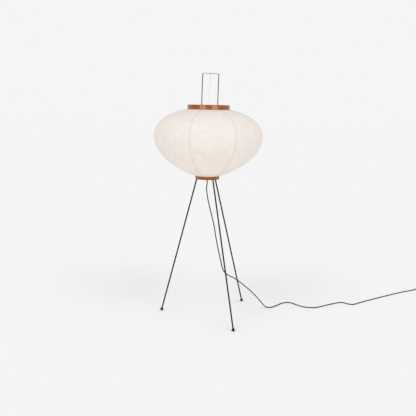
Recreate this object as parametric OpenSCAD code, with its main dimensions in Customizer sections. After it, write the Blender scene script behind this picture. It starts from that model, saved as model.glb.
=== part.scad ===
// Paper lantern floor lamp on a splayed tripod of steel rods.
// Millimetres. The floor is z = 0 and the shade's axis is the z axis.
// The front of the lamp faces -Y and its right-hand side is +X.

/* [Tripod] */
// Diameter of each leg rod
leg_d = 7; // [5:0.5:7]
// Distance from the middle of the three feet to each foot
foot_circle_r = 262; // [220:2:300]
// How far the three feet stand to the right of the shade's axis
foot_shift = 38; // [0:2:44]
// Bearing of the rear leg, from the right-hand side towards the back
rear_leg_angle = 52.2; // [45:0.1:58]
// How far the tops of the front and rear legs are turned towards each other
leg_top_angle = 10; // [0:1:12]
// Diameter of each ball foot
foot_d = 15; // [12:1:20]
// Width of the small flat that each ball foot stands on
foot_flat_d = 4.6; // [3:0.2:8]

/* [Hub] */
// Height of the hub plate above the underside of the lower rim
hub_rise = 22; // [20:1:30]
// Radius of the hub plate
hub_r = 50; // [48:0.5:52]
// Thickness of the hub plate
hub_t = 3; // [2:0.5:4]
// Length of each leg socket under the hub plate
socket_len = 12; // [8:1:14]
// Wall of each leg socket
socket_wall = 1.3; // [1:0.1:1.6]
// Diameter of the air holes in the hub plate
vent_d = 16; // [8:1:17]

/* [Wire frame] */
// Height of the whole lamp, to the top of the wire frame
total_h = 1200; // [1120:5:1300]
// Width of the wire frame between the middles of its two uprights
frame_w = 77; // [74:1:86]
// Diameter of the frame wire
frame_wire_d = 4; // [2.5:0.25:4]
// Radius of each bend in the frame wire, at its middle line
frame_bend_r = 7; // [5:0.5:15]
// Lean of the wire frame towards the right, from upright
frame_lean = 0.8; // [0:0.1:1.5]

/* [Shade] */
// Height of the lower rim's underside above the floor
rim_seat_z = 692; // [620:2:740]
// Largest diameter of the paper shade
shade_d = 530; // [480:2:600]
// Height of the curve below the widest ring, if it ran on to the axis
lower_depth = 206; // [170:2:230]
// Height of the curve above the widest ring, if it ran on to the axis
upper_depth = 132; // [120:2:160]
// Thickness of the paper
paper_t = 0.5; // [0.4:0.1:0.8]
// Outer diameter of the lower wooden rim
lower_rim_d = 120; // [114:1:124]
// Height of the lower wooden rim
lower_rim_h = 15; // [12:1:18]
// Outer diameter of the upper wooden rim
upper_rim_d = 206; // [180:2:230]
// Height of the upper wooden rim
upper_rim_h = 21; // [18:1:30]
// Thickness of each rim's outer hoop
outer_hoop_t = 2.2; // [1.8:0.1:2.6]
// Thickness of each rim's inner hoop
inner_hoop_t = 1.6; // [1.4:0.1:2]
// Thickness of the bamboo rib
rib_d = 1.2; // [0.8:0.1:1.6]
// Distance from one turn of the bamboo rib to the next, along the paper
rib_pitch = 10.5; // [9:0.5:16]

/* [Hanging wire and thread] */
// Diameter of the wire across the upper rim
cross_wire_d = 2; // [1.5:0.1:2.5]
// Diameter of the thread that holds the shade up
thread_d = 0.9; // [0.6:0.1:1.5]
// Thickness of the round knot at each end of the thread
knot_t = 2; // [1.6:0.1:2.4]

/* [Lamp holder and bulb] */
// Outer diameter of the lamp holder
holder_d = 38; // [37:0.5:39]
// Height of the holder's lower cap
holder_cap_h = 22; // [21:1:26]
// Height of the holder's upper shell
holder_shell_h = 38; // [34:1:44]
// Diameter of the threaded tube that joins hub and holder
nipple_d = 10; // [9:0.5:11]
// Largest diameter of the bulb
bulb_d = 65; // [55:1:68]
// Height of the bulb's glass
bulb_glass_h = 99; // [85:1:110]

/* [Cord, switch and plug] */
// Diameter of the mains cord
cord_d = 5; // [4.5:0.1:5.4]
// Length of the tapered strain relief under the hub
relief_len = 25; // [20:1:30]
// Length of the switch housing
switch_len = 70; // [66:1:80]
// Width of the switch housing
switch_w = 28; // [26:1:32]
// Height of the switch housing
switch_h = 17; // [16:1:20]
// Diameter of the switch button
button_d = 16; // [14:0.5:17]
// How far the switch button goes down
button_travel = 2.5; // [2:0.1:2.8]
// Radius of the coil's outermost turn
coil_r = 34; // [32:0.5:40]
// Width of the plug across its pins
plug_w = 34; // [30:1:38]
// Thickness of the plug
plug_t = 15; // [13:0.5:17]
// Distance between the two plug pins
pin_gap = 19; // [18:0.5:20]

/* [Hidden] */
$fn = 64;

// Small clearances, each used between pieces that fit together
fit = 0.1;
seat_clear = 0.2;
glide = 0.3;
cut = 1;

// Rims: the paper's edge is held in the slot between an outer and an inner hoop
lower_slot = paper_t + 2 * fit;
upper_slot = paper_t + 2 * glide;
lower_rim_r = lower_rim_d / 2;
lower_slot_r = lower_rim_r - outer_hoop_t - lower_slot / 2;
lower_bore_r = lower_rim_r - outer_hoop_t - lower_slot - inner_hoop_t;
upper_rim_r = upper_rim_d / 2;
upper_slot_r = upper_rim_r - outer_hoop_t - upper_slot / 2;
upper_bore_r = upper_rim_r - outer_hoop_t - upper_slot - inner_hoop_t;
lower_rim_top = rim_seat_z + lower_rim_h;

// Shade: a full superellipse above the widest ring and a more pointed one below it
shade_r = shade_d / 2;
upper_power = [2, 2.5];
lower_power = [2, 1.5];
function curve_h(r, depth, power) = depth * pow(1 - pow(r / shade_r, power[1]), 1 / power[0]);
equator_z = lower_rim_top + curve_h(lower_slot_r, lower_depth, lower_power);
upper_rim_z = equator_z + curve_h(upper_slot_r, upper_depth, upper_power);
curve_steps = 22;
// Points of one half of the shade's outline, from its widest ring to the rim's slot
function half_outline(inset, slot_r, depth, power, way) =
    let (wide = shade_r - inset, deep = depth - inset, end_r = slot_r - inset)
    let (last = acos(pow(end_r / wide, power[1] / 2)))
    [for (i = [0:curve_steps])
        let (a = last * i / curve_steps)
        [wide * pow(cos(a), 2 / power[1]), equator_z + way * deep * pow(sin(a), 2 / power[0])]];
// The outline at a depth inside the paper's outer face, from the lower rim to the upper rim
function outline(inset) =
    let (low = half_outline(inset, lower_slot_r + paper_t / 2, lower_depth, lower_power, -1))
    let (high = half_outline(inset, upper_slot_r + paper_t / 2, upper_depth, upper_power, 1))
    concat([for (i = [curve_steps:-1:1]) low[i]], high);
// How far the paper reaches into each rim's slot
paper_tuck = lower_rim_h - 3;

// Tripod: each leg passes just inside the lower rim's bore, so the rim rests on the legs
hub_z = rim_seat_z + hub_rise;
hub_top = hub_z + hub_t;
foot_r = foot_d / 2;
foot_z = sqrt(pow(foot_r, 2) - pow(foot_flat_d / 2, 2));
leg_slope = (foot_circle_r + foot_shift) / rim_seat_z;
leg_flank = leg_d / 2 * sqrt(1 + pow(leg_slope, 2));
seat_r = lower_bore_r - seat_clear - leg_flank;
leg_turns = [rear_leg_angle + 120, rear_leg_angle + 240, rear_leg_angle];
function foot_at(i) = [
    foot_shift + foot_circle_r * cos(leg_turns[i]), foot_circle_r * sin(leg_turns[i]), foot_z];
seat_turns = leg_turns + [0, leg_top_angle, -leg_top_angle];
function leg_seat(i) = [seat_r * cos(seat_turns[i]), seat_r * sin(seat_turns[i]), rim_seat_z];
// The point on leg i at height z
function leg_at(i, z) =
    foot_at(i) + (leg_seat(i) - foot_at(i)) * (z - foot_z) / (rim_seat_z - foot_z);

// Nuts
nut_t = 3;
frame_nut_af = 6;
nipple_nut_af = 14;

// Wire frame, in its own upright frame before it leans
frame_end_len = 4;
frame_foot_z = hub_z - nut_t - frame_end_len;
frame_top = total_h - frame_wire_d / 2;
// Where an upright of the leaning frame passes height z
function upright_x(side, z) = side * frame_w / 2 / cos(frame_lean) + (z - hub_top) * tan(frame_lean);

// Threaded tube and lamp holder
nipple_bore_d = nipple_d - 3;
nipple_end_len = 6;
nipple_rise = 8;
nipple_z = hub_z - nut_t - nipple_end_len;
nipple_top = hub_top + nipple_rise;
holder_wall = 1.6;
holder_floor = 2.4;
holder_r = holder_d / 2;
holder_in_r = holder_r - holder_wall;
shell_z = hub_top + holder_cap_h;
shell_top = shell_z + holder_shell_h;
flange_t = 2;
flange_bore_r = 12.5;
insert_z = shell_z + flange_t;
insert_h = 8;
insert_top = insert_z + insert_h;
thread_in_r = 13.6;
thread_t = 0.5;
thread_h = 23;
contact_h = 2;
terminal_h = 6;
terminal_w = 4.6;
lead_d = 2;
lead_x = 1.7;

// Bulb, standing on the holder's centre contact
bulb_z = insert_top + contact_h;
bulb_contact_h = 3.5;
bulb_cap_r = 13.1;
bulb_cap_h = 22.5;
bulb_cap_wall = 0.8;
bulb_cap_z = bulb_z + bulb_contact_h;
glass_tuck = 1;
glass_z = bulb_cap_z + bulb_cap_h - glass_tuck;
glass_top = glass_z + bulb_glass_h;
glass_r = bulb_d / 2;
glass_t = 1;

// Wire across the upper rim, its thread and knots
cross_z = upper_rim_z + upper_rim_h / 2;
cross_seat = 1;
bar_x = (frame_top - hub_top) * sin(frame_lean);
bar_z = hub_top + (frame_top - hub_top) * cos(frame_lean);
// The lowest place of the upper rim is where its wire would meet the bulb
drop_clear = 6;
shade_drop = cross_z - cross_wire_d / 2 - glass_top - drop_clear;
echo(str("the upper rim can be let down by ", shade_drop, " mm"));

// Strain relief, screwed on the lower end of the threaded tube
relief_top = hub_z - nut_t - seat_clear;
relief_z = relief_top - relief_len;
relief_r = 7.5;
relief_tip_r = cord_d / 2 + 1;

// Mains cord: points on its middle line, from the strain relief to the switch
cord_r = cord_d / 2;
cord_sides = 8;
cord_points = [
    [-2, -2, 638], [7, -14, 583], [23, -33, 524], [38, -56, 468], [48, -84, 415],
    [60, -118, 364], [74, -154, 310], [81, -170, 286], [93, -178, 267], [112, -168, 250],
    [137, -140, 231], [168, -98, 199], [205, -46, 157], [241, 8, 112], [275, 56, 65],
    [300, 84, 30], [321, 104, 6], [350, 106, cord_r], [381, 137, cord_r],
    [414, 176, cord_r], [444, 193, cord_r], [471, 181, cord_r], [497, 148, cord_r],
    [525, 123, cord_r], [561, 114, cord_r], [597, 122, cord_r], [664, 169, cord_r],
    [721, 204, cord_r], [751, 208, cord_r], [774, 186, cord_r], [799, 181, cord_r],
    [834, 207, cord_r], [881, 243, cord_r]
];
cord_last_points = [[996, 326, cord_r], [1122, 413, cord_r], [1206, 461, cord_r]];

// What is put away beyond the lamp's right-hand side: its place and bearing
away_at = [1254, 489, 0];
away_turn = 30;
function away_point(p) = away_at + [
    p[0] * cos(away_turn) - p[1] * sin(away_turn),
    p[0] * sin(away_turn) + p[1] * cos(away_turn), p[2]];

// Switch, lengthwise between two tapered grips; the cord lies at its parting plane
grip_len = 20;
grip_r = 5;
grip_tip_r = cord_d / 2 + 1;
grip_root = 5;
split_z = 8;
switch_wall = 2;
switch_x = grip_len + switch_len / 2;
switch_end_r = switch_w / 2;
switch_in_r = switch_end_r - switch_wall;
screw_d = 3;
screw_head_d = 5.4;
screw_head_h = 1.6;
screw_len = 10;
boss_d = 6.8;
screw_x = switch_len / 2 - 13;
screw_y = switch_in_r - boss_d / 2;
screw_at = [[screw_x, screw_y], [-screw_x, -screw_y]];
flange_over = 1.6;
button_flange_t = 1.5;
button_flange_z = switch_h - switch_wall - seat_clear - button_flange_t;
button_rise = 4;
stem_d = 5;
stem_len = 6;
stem_z = button_flange_z - stem_len;
press_clear = 0.5;
block_l = 24;
block_w = 13;
block_top = button_flange_z - button_travel - press_clear;
block_bore_z = stem_z - button_travel - press_clear;

// Coil: turns beside and on each other, two layers, one unbroken tube
coil_pitch = cord_d + 0.6;
turns_in = 2.5;
turns_back = 0.5;
coil_turns = turns_in + turns_back + turns_in;
coil_steps = 24;
coil_in_r = coil_r - coil_pitch * turns_in;
tie_t = 0.6;
tie_w = 5;
coil_z = cord_r + tie_t + fit;
lead_len = 25;
lead_level_len = 2;
lead_steps = 6;
coil_x = 2 * grip_len + switch_len + lead_len;
coil_y = -coil_r;
function smooth(u) = u * u * (3 - 2 * u);
function coil_radius(t) =
    t < turns_in ? coil_r - coil_pitch * t :
    t > turns_in + turns_back ? coil_in_r + coil_pitch * (t - turns_in - turns_back) :
    let (u = (t - turns_in) / turns_back)
    coil_in_r - coil_pitch * turns_back * (u - u * u);
function coil_height(t) =
    coil_z + coil_pitch * smooth(max(0, min(1, (t - turns_in) / turns_back)));
function coil_point(t) =
    let (a = 90 - 360 * t)
    [coil_x + coil_radius(t) * cos(a), coil_y + coil_radius(t) * sin(a), coil_height(t)];
// A lead to or from the coil: straight for one diameter, then level with the turns
function lead_height(s, far_z, near_z) =
    far_z + (near_z - far_z) * smooth(max(0, min(1, (s - cord_d) / (lead_len - cord_d - lead_level_len))));
plug_z = plug_t / 2;
coil_top_z = coil_z + coil_pitch;
coil_lead_in = [for (i = [0:lead_steps - 1])
    let (s = lead_len * i / lead_steps)
    [coil_x - lead_len + s, 0, lead_height(s, split_z, coil_z)]];
coil_lead_out = [for (i = [lead_steps - 1:-1:0])
    let (s = lead_len * i / lead_steps)
    [coil_x - lead_len + s, 2 * coil_y, lead_height(s, plug_z, coil_top_z)]];
coil_path = concat(
    coil_lead_in,
    [for (i = [0:coil_steps * coil_turns]) coil_point(i / coil_steps)],
    coil_lead_out);
coil_route = [for (p = coil_path) away_point(p)];
coil_gap = min([for (i = [0:len(coil_path) - 1])
    for (j = [i + coil_steps / 2:1:len(coil_path) - 1]) norm(coil_path[i] - coil_path[j])]) - cord_d;
echo(str("least gap between turns of the coil is ", coil_gap, " mm"));

// Plug, on the end of the coil's second lead, pointing back along the switch
plug_x = coil_x - lead_len;
plug_y = 2 * coil_y;
plug_len = 36;
plug_grip_len = 25;
pin_d = 4;
pin_len = 19;
pin_root = 8;

// Cord route: straight out of the relief, through the chosen points, straight into the switch
straight = 3 * cord_d;
cord_route = concat(
    [[0, 0, relief_z], [0, 0, relief_z - straight]],
    cord_points,
    cord_last_points,
    [away_point([-straight, 0, split_z - 1]), away_point([0, 0, split_z])]);
// A smooth curve through points, two steps to each
function blend(p, i, u) =
    let (a = p[max(i - 1, 0)], b = p[i], c = p[i + 1], d = p[min(i + 2, len(p) - 1)])
    (2 * b + (c - a) * u + (2 * a - 5 * b + 4 * c - d) * u * u
        + (3 * b - a - 3 * c + d) * u * u * u) / 2;
function smooth_path(p) =
    concat([for (i = [0:len(p) - 2]) for (u = [0, 0.5]) blend(p, i, u)], [p[len(p) - 1]]);
cord_path = smooth_path(cord_route);
function path_length(p, i = 0) =
    i > len(p) - 2 ? 0 : norm(p[i + 1] - p[i]) + path_length(p, i + 1);
echo(str("cord: ", len(cord_path), " rings, ", path_length(cord_path), " mm to the switch and ",
    path_length(coil_path), " mm beyond it"));

// A closed solid through rings of points, each ring with the same number of sides
module skin(points, sides) {
    last = len(points) / sides - 1;
    walls = [for (i = [0:last - 1]) for (k = [0:sides - 1]) for (half = [0, 1])
        let (b = i * sides, next = (k + 1) % sides)
        half == 0 ? [b + k, b + sides + k, b + sides + next] : [b + k, b + sides + next, b + next]];
    near_cap = [for (k = [1:sides - 2]) [0, k, k + 1]];
    far_cap = [for (k = [1:sides - 2]) [last * sides, last * sides + k + 1, last * sides + k]];
    polyhedron(points = points, faces = concat(walls, near_cap, far_cap), convexity = 10);
}

// A round tube along a path: rings square to the path, carried along without twist
function unit(v) = v / norm(v);
function tangents(p) =
    [for (i = [0:len(p) - 1]) unit(p[min(i + 1, len(p) - 1)] - p[max(i - 1, 0)])];
function normals(t, n, i = 0) =
    i == len(t) ? [] : let (m = unit(n - (n * t[i]) * t[i])) concat([m], normals(t, m, i + 1));
module tube(path, r, sides, side_way) {
    t = tangents(path);
    n = normals(t, side_way);
    skin([for (i = [0:len(path) - 1]) for (k = [0:sides - 1])
        let (a = 360 * (k + 0.5) / sides)
        path[i] + r * cos(a) * n[i] + r * sin(a) * cross(t[i], n[i])], sides);
}

// A rod or a hole from one point to another
module rod(from, to, d) {
    way = to - from;
    translate(from)
        rotate([0, acos(way[2] / norm(way)), atan2(way[1], way[0])])
            cylinder(d = d, h = norm(way));
}

// A ring with a square section
module hoop(in_r, out_r, h) {
    difference() {
        cylinder(r = out_r, h = h, $fn = 128);
        translate([0, 0, -cut]) cylinder(r = in_r, h = h + 2 * cut, $fn = 128);
    }
}

module hex_nut(across, bore, h) {
    difference() {
        cylinder(d = across / cos(30), h = h, $fn = 6);
        translate([0, 0, -cut]) cylinder(d = bore, h = h + 2 * cut);
    }
}

// ---- Tripod ----

module leg(i) {
    way = unit(leg_seat(i) - foot_at(i));
    color([0.09, 0.09, 0.1]) rod(foot_at(i), leg_at(i, hub_z) - glide * way, leg_d);
}

module left_leg() { leg(0); }
module front_leg() { leg(1); }
module rear_leg() { leg(2); }

module foot(i) {
    color([0.05, 0.05, 0.05]) difference() {
        translate(foot_at(i)) sphere(r = foot_r);
        translate(foot_at(i) - [foot_d, foot_d, foot_d + foot_z]) cube([2 * foot_d, 2 * foot_d, foot_d]);
        rod(foot_at(i), leg_at(i, foot_z + foot_d), leg_d + fit);
    }
}

module left_foot() { foot(0); }
module front_foot() { foot(1); }
module rear_foot() { foot(2); }

// Steel plate that joins the legs, the wire frame and the lamp holder
module hub_plate() {
    vent_ring_r = holder_r + 1 + vent_d / 2;
    socket_top = hub_top - fit - (leg_d / 2 + socket_wall) * leg_slope;
    color([0.1, 0.1, 0.11]) difference() {
        union() {
            translate([0, 0, hub_z]) cylinder(r = hub_r, h = hub_t, $fn = 128);
            for (i = [0:2])
                rod(leg_at(i, hub_z - socket_len), leg_at(i, socket_top), leg_d + 2 * socket_wall);
        }
        for (i = [0:2]) rod(leg_at(i, hub_z - 2 * socket_len), leg_at(i, hub_z), leg_d + fit);
        // A socket next to a frame nut is cut back to let the nut turn
        for (side = [-1, 1])
            translate([upright_x(side, hub_z - nut_t / 2), 0, hub_z - 2 * socket_len])
                cylinder(d = frame_nut_af / cos(30) + 2 * glide, h = 2 * socket_len);
        translate([0, 0, hub_z - cut]) cylinder(d = nipple_d + 2 * fit, h = hub_t + 2 * cut);
        for (side = [-1, 1])
            translate([upright_x(side, hub_z + hub_t / 2), 0, hub_z - cut])
                cylinder(d = frame_wire_d + 2 * fit, h = hub_t + 2 * cut);
        for (turn = [30:60:330])
            rotate([0, 0, turn]) translate([vent_ring_r, 0, hub_z - cut])
                cylinder(d = vent_d, h = hub_t + 2 * cut);
    }
}

// ---- Wire frame ----

module leaning() {
    translate([0, 0, hub_top]) rotate([0, frame_lean, 0]) translate([0, 0, -hub_top]) children();
}

module wire_frame() {
    straight_h = frame_top - frame_bend_r - frame_foot_z;
    color([0.12, 0.12, 0.12]) leaning() {
        for (turn = [0, 180]) rotate([0, 0, turn]) {
            translate([frame_w / 2, 0, frame_foot_z]) cylinder(d = frame_wire_d, h = straight_h);
            translate([frame_w / 2 - frame_bend_r, 0, frame_top - frame_bend_r]) rotate([90, 0, 0])
                rotate_extrude(angle = 90) translate([frame_bend_r, 0]) circle(d = frame_wire_d);
        }
        translate([frame_bend_r - frame_w / 2, 0, frame_top]) rotate([0, 90, 0])
            cylinder(d = frame_wire_d, h = frame_w - 2 * frame_bend_r);
    }
}

module frame_nuts() {
    color([0.2, 0.2, 0.2]) for (side = [-1, 1]) for (z = [hub_top + fit, hub_z - nut_t - fit])
        translate([upright_x(side, z + nut_t / 2), 0, z])
            hex_nut(frame_nut_af, frame_wire_d + 2 * fit, nut_t);
}

// ---- Threaded tube, strain relief and lamp holder ----

module nipple() {
    color([0.72, 0.6, 0.32]) translate([0, 0, nipple_z]) difference() {
        cylinder(d = nipple_d, h = nipple_top - nipple_z);
        translate([0, 0, -cut]) cylinder(d = nipple_bore_d, h = nipple_top - nipple_z + 2 * cut);
    }
}

module nipple_nuts() {
    color([0.7, 0.7, 0.7]) for (z = [hub_z - nut_t, hub_top + holder_floor])
        translate([0, 0, z]) hex_nut(nipple_nut_af, nipple_d + fit, nut_t);
}

module strain_relief() {
    collar_h = relief_top - nipple_z + 2;
    color([0.06, 0.06, 0.06]) difference() {
        union() {
            translate([0, 0, relief_top - collar_h]) cylinder(r = relief_r, h = collar_h);
            translate([0, 0, relief_z])
                cylinder(r1 = relief_tip_r, r2 = relief_r, h = relief_len - collar_h);
        }
        translate([0, 0, nipple_z]) cylinder(d = nipple_d + fit, h = relief_len);
    }
}

module holder_cap() {
    color([0.08, 0.08, 0.08]) translate([0, 0, hub_top]) difference() {
        cylinder(r = holder_r, h = holder_cap_h);
        translate([0, 0, holder_floor]) cylinder(r = holder_in_r, h = holder_cap_h);
        translate([0, 0, -cut]) cylinder(d = nipple_d + fit, h = holder_floor + 2 * cut);
    }
}

module holder_shell() {
    spigot_h = 5;
    color([0.08, 0.08, 0.08]) difference() {
        union() {
            translate([0, 0, shell_z]) cylinder(r = holder_r, h = holder_shell_h);
            translate([0, 0, shell_z - spigot_h]) cylinder(r = holder_in_r - fit, h = spigot_h + cut);
        }
        translate([0, 0, shell_z - spigot_h - cut]) cylinder(r = flange_bore_r, h = holder_shell_h);
        translate([0, 0, insert_z]) cylinder(r = holder_in_r, h = holder_shell_h);
    }
}

module holder_insert() {
    color([0.93, 0.92, 0.88]) difference() {
        translate([0, 0, insert_z]) cylinder(r = holder_in_r - fit, h = insert_h);
        for (side = [-1, 1]) translate([side * (holder_in_r - 2.5), 0, insert_z - cut])
            cylinder(r = 1, h = insert_h + 2 * cut);
    }
}

module holder_thread() {
    color([0.8, 0.66, 0.34]) translate([0, 0, insert_top])
        hoop(thread_in_r, thread_in_r + thread_t, thread_h);
}

module holder_contact() {
    strip = [18, 5, 0.6];
    color([0.8, 0.66, 0.34]) {
        translate([-strip[0] / 2, -strip[1] / 2, insert_top]) cube(strip);
        translate([0, 0, insert_top]) cylinder(d = strip[1], h = contact_h);
    }
}

module terminals() {
    color([0.8, 0.66, 0.34]) for (side = [-1, 1])
        translate([side * (terminal_w / 2 + 0.5) - terminal_w / 2, -terminal_w / 2, insert_z - terminal_h])
            cube([terminal_w, terminal_w, terminal_h]);
}

module holder_leads() {
    color([0.5, 0.3, 0.15]) for (side = [-1, 1])
        translate([side * lead_x, 0, nipple_z]) cylinder(d = lead_d, h = insert_z - terminal_h - nipple_z);
}

// Glass outline: a narrow neck that swells into a round head
module glass_outline(inset) {
    head_z = glass_top - glass_r;
    neck_r = bulb_cap_r - bulb_cap_wall - fit;
    steps = 14;
    // The neck's side meets the head where the head is this much below its middle
    join = 40;
    join_at = [glass_r * cos(join), head_z - glass_r * sin(join)];
    neck = [for (i = [0:steps])
        let (u = i / steps, z = glass_z + (join_at[1] - glass_z) * u)
        [neck_r + (join_at[0] - neck_r) * pow(u, 1.9) - inset, z + inset * (1 - u)]];
    head = [for (i = [1:2 * steps])
        let (a = -join + (90 + join) * i / (2 * steps))
        [max(0, (glass_r - inset) * cos(a)), head_z + (glass_r - inset) * sin(a)]];
    polygon(concat([[0, glass_z + inset]], neck, head));
}

module bulb_glass() {
    color([0.98, 0.95, 0.88]) rotate_extrude() difference() {
        glass_outline(0);
        glass_outline(glass_t);
    }
}

module bulb_cap() {
    color([0.75, 0.75, 0.74]) translate([0, 0, bulb_cap_z]) difference() {
        cylinder(r = bulb_cap_r, h = bulb_cap_h);
        translate([0, 0, bulb_cap_wall]) cylinder(r = bulb_cap_r - bulb_cap_wall, h = bulb_cap_h);
    }
}

module bulb_contact() {
    color([0.15, 0.15, 0.16]) translate([0, 0, bulb_z])
        cylinder(r1 = 3.5, r2 = 9, h = bulb_contact_h);
}

// ---- Shade ----

module lower_outer_hoop() {
    color([0.57, 0.33, 0.18]) translate([0, 0, rim_seat_z])
        hoop(lower_rim_r - outer_hoop_t, lower_rim_r, lower_rim_h);
}

module lower_inner_hoop() {
    color([0.6, 0.36, 0.2]) translate([0, 0, rim_seat_z])
        hoop(lower_bore_r, lower_bore_r + inner_hoop_t, lower_rim_h);
}

module upper_outer_hoop() {
    color([0.57, 0.33, 0.18]) translate([0, 0, upper_rim_z + glide])
        hoop(upper_rim_r - outer_hoop_t, upper_rim_r, upper_rim_h - glide);
}

// The inner hoop has two small holes that hold the ends of the wire across it
module upper_inner_hoop() {
    color([0.6, 0.36, 0.2]) difference() {
        translate([0, 0, upper_rim_z + glide])
            hoop(upper_bore_r, upper_bore_r + inner_hoop_t, upper_rim_h - glide);
        translate([0, 0, cross_z]) rotate([90, 0, 0])
            cylinder(d = cross_wire_d + fit, h = 2 * upper_rim_r, center = true);
    }
}

module cross_wire() {
    reach = upper_bore_r + cross_seat;
    color([0.3, 0.3, 0.3]) translate([0, 0, cross_z]) rotate([90, 0, 0])
        cylinder(d = cross_wire_d, h = 2 * reach, center = true);
}

// The paper: one skin from the slot of the lower rim to the slot of the upper rim
module paper_shade() {
    low_r = lower_slot_r + paper_t / 2;
    high_r = upper_slot_r + paper_t / 2;
    outside = outline(0);
    inside = outline(paper_t);
    n = len(outside);
    edge = concat(
        [[low_r, lower_rim_top - paper_tuck]], outside, [[high_r, upper_rim_z + paper_tuck]],
        [[high_r - paper_t, upper_rim_z + paper_tuck]], [for (i = [n - 1:-1:0]) inside[i]],
        [[low_r - paper_t, lower_rim_top - paper_tuck]]);
    color([0.97, 0.93, 0.87]) rotate_extrude($fn = 128) polygon(edge);
}

// The rib: one square bamboo strip, wound round and up the inside of the paper
rib_gap = 0.6;
rib_line = outline(paper_t + rib_gap + rib_d / sqrt(2));
function rib_lengths(i = 0, so_far = 0) =
    i == len(rib_line) ? [] :
    let (here = so_far + (i == 0 ? 0 : norm(rib_line[i] - rib_line[i - 1])))
    concat([here], rib_lengths(i + 1, here));
rib_at = rib_lengths();
rib_radius_at = [for (i = [0:len(rib_line) - 1]) [rib_at[i], rib_line[i][0]]];
rib_height_at = [for (i = [0:len(rib_line) - 1]) [rib_at[i], rib_line[i][1]]];
rib_start = 2 * rib_d;
rib_steps = 20;
rib_rings = floor(rib_steps * (rib_at[len(rib_at) - 1] - 2 * rib_start) / rib_pitch);
rib_corners = [[-1, -1], [-1, 1], [1, 1], [1, -1]] * rib_d / 2;
module bamboo_rib() {
    color([0.82, 0.7, 0.5]) skin([for (i = [0:rib_rings]) for (corner = rib_corners)
        let (along = rib_start + rib_pitch * i / rib_steps, turn = 360 * i / rib_steps)
        let (r = lookup(along, rib_radius_at) + corner[0])
        [r * cos(turn), r * sin(turn), lookup(along, rib_height_at) + corner[1]]], 4);
}

module hanger_thread() {
    lower = [0, 0, cross_z + cross_wire_d / 2 + fit + knot_t + glide];
    upper = [bar_x, 0, bar_z - frame_wire_d / 2 - fit - knot_t - fit];
    color([0.75, 0.74, 0.7]) rod(lower, upper, thread_d);
}

// A knot is a tight round turn on the wire that it holds
module knot(wire_d) {
    rotate_extrude() translate([wire_d / 2 + fit + knot_t / 2, 0]) circle(d = knot_t, $fn = 32);
}

module bar_knot() {
    color([0.35, 0.33, 0.28]) leaning() translate([0, 0, frame_top]) rotate([0, 90, 0]) knot(frame_wire_d);
}

module rim_knot() {
    color([0.35, 0.33, 0.28]) translate([0, 0, cross_z]) rotate([90, 0, 0]) knot(cross_wire_d);
}

// ---- Cord ----

module cord_run() {
    color([0.07, 0.07, 0.07]) tube(cord_path, cord_r, cord_sides, [0, 1, 0]);
}

module cord_coil() {
    color([0.07, 0.07, 0.07]) tube(coil_route, cord_r, 6, [0, 0, 1]);
}

// A strap once round the turns, on the side of the coil away from its two leads
module coil_tie() {
    near = coil_radius(turns_in - 1 / 4) - cord_r - glide;
    far = coil_radius(1 / 4) + cord_r + glide;
    window = [far - near, coil_top_z + cord_r - tie_t + fit];
    color([0.1, 0.1, 0.1]) put_away() translate([coil_x + near, coil_y + tie_w / 2, 0])
        rotate([90, 0, 0]) linear_extrude(tie_w) difference() {
            translate([-tie_t, 0]) square(window + [2 * tie_t, 2 * tie_t]);
            translate([0, tie_t]) square(window);
        }
}

// ---- Switch on the cord ----

module put_away() {
    translate(away_at) rotate([0, 0, away_turn]) children();
}

module slab(len_x, end_r, h) {
    half = len_x / 2 - end_r;
    translate([-half, -end_r, 0]) cube([2 * half, 2 * end_r, h]);
    for (side = [-1, 1]) translate([side * half, 0, 0]) cylinder(r = end_r, h = h);
}

// The two round openings at the parting plane that clamp the grips
module grip_holes() {
    translate([-switch_len, 0, split_z]) rotate([0, 90, 0]) cylinder(r = grip_r - 1, h = 2 * switch_len);
}

module switch_base() {
    color([0.07, 0.07, 0.07]) put_away() translate([switch_x, 0, 0]) difference() {
        slab(switch_len, switch_end_r, split_z);
        difference() {
            translate([0, 0, switch_wall])
                slab(switch_len - 2 * switch_wall, switch_in_r, switch_h);
            for (at = screw_at) translate(at) cylinder(d = boss_d, h = split_z);
        }
        grip_holes();
        for (at = screw_at) translate(at) {
            translate([0, 0, -cut]) cylinder(d = screw_d + fit, h = switch_h);
            translate([0, 0, -cut]) cylinder(d = screw_head_d + fit, h = screw_head_h + fit + cut);
        }
    }
}

module switch_cover() {
    color([0.07, 0.07, 0.07]) put_away() translate([switch_x, 0, 0]) difference() {
        translate([0, 0, split_z]) slab(switch_len, switch_end_r, switch_h - split_z);
        difference() {
            translate([0, 0, split_z - cut])
                slab(switch_len - 2 * switch_wall, switch_in_r, switch_h - split_z - switch_wall + cut);
            for (at = screw_at) translate(at) cylinder(d = boss_d, h = switch_h);
        }
        grip_holes();
        translate([0, 0, split_z]) cylinder(d = button_d + 2 * glide, h = switch_h);
        for (at = screw_at) translate(at) translate([0, 0, split_z - cut])
            cylinder(d = screw_d + fit, h = screw_head_h + screw_len - split_z + cut + press_clear);
    }
}

module switch_button() {
    color([0.2, 0.2, 0.2]) put_away() translate([switch_x, 0, 0]) {
        translate([0, 0, button_flange_z])
            cylinder(d = button_d, h = switch_h + button_rise - button_flange_z);
        translate([0, 0, button_flange_z]) cylinder(d = button_d + 2 * flange_over, h = button_flange_t);
        translate([0, 0, stem_z]) cylinder(d = stem_d, h = button_flange_z - stem_z + button_flange_t);
    }
}

module switch_block() {
    color([0.85, 0.83, 0.78]) put_away() translate([switch_x, 0, 0]) difference() {
        translate([-block_l / 2, -block_w / 2, switch_wall])
            cube([block_l, block_w, block_top - switch_wall]);
        translate([0, 0, block_bore_z]) cylinder(d = stem_d + 2 * glide, h = switch_h);
    }
}

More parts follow.
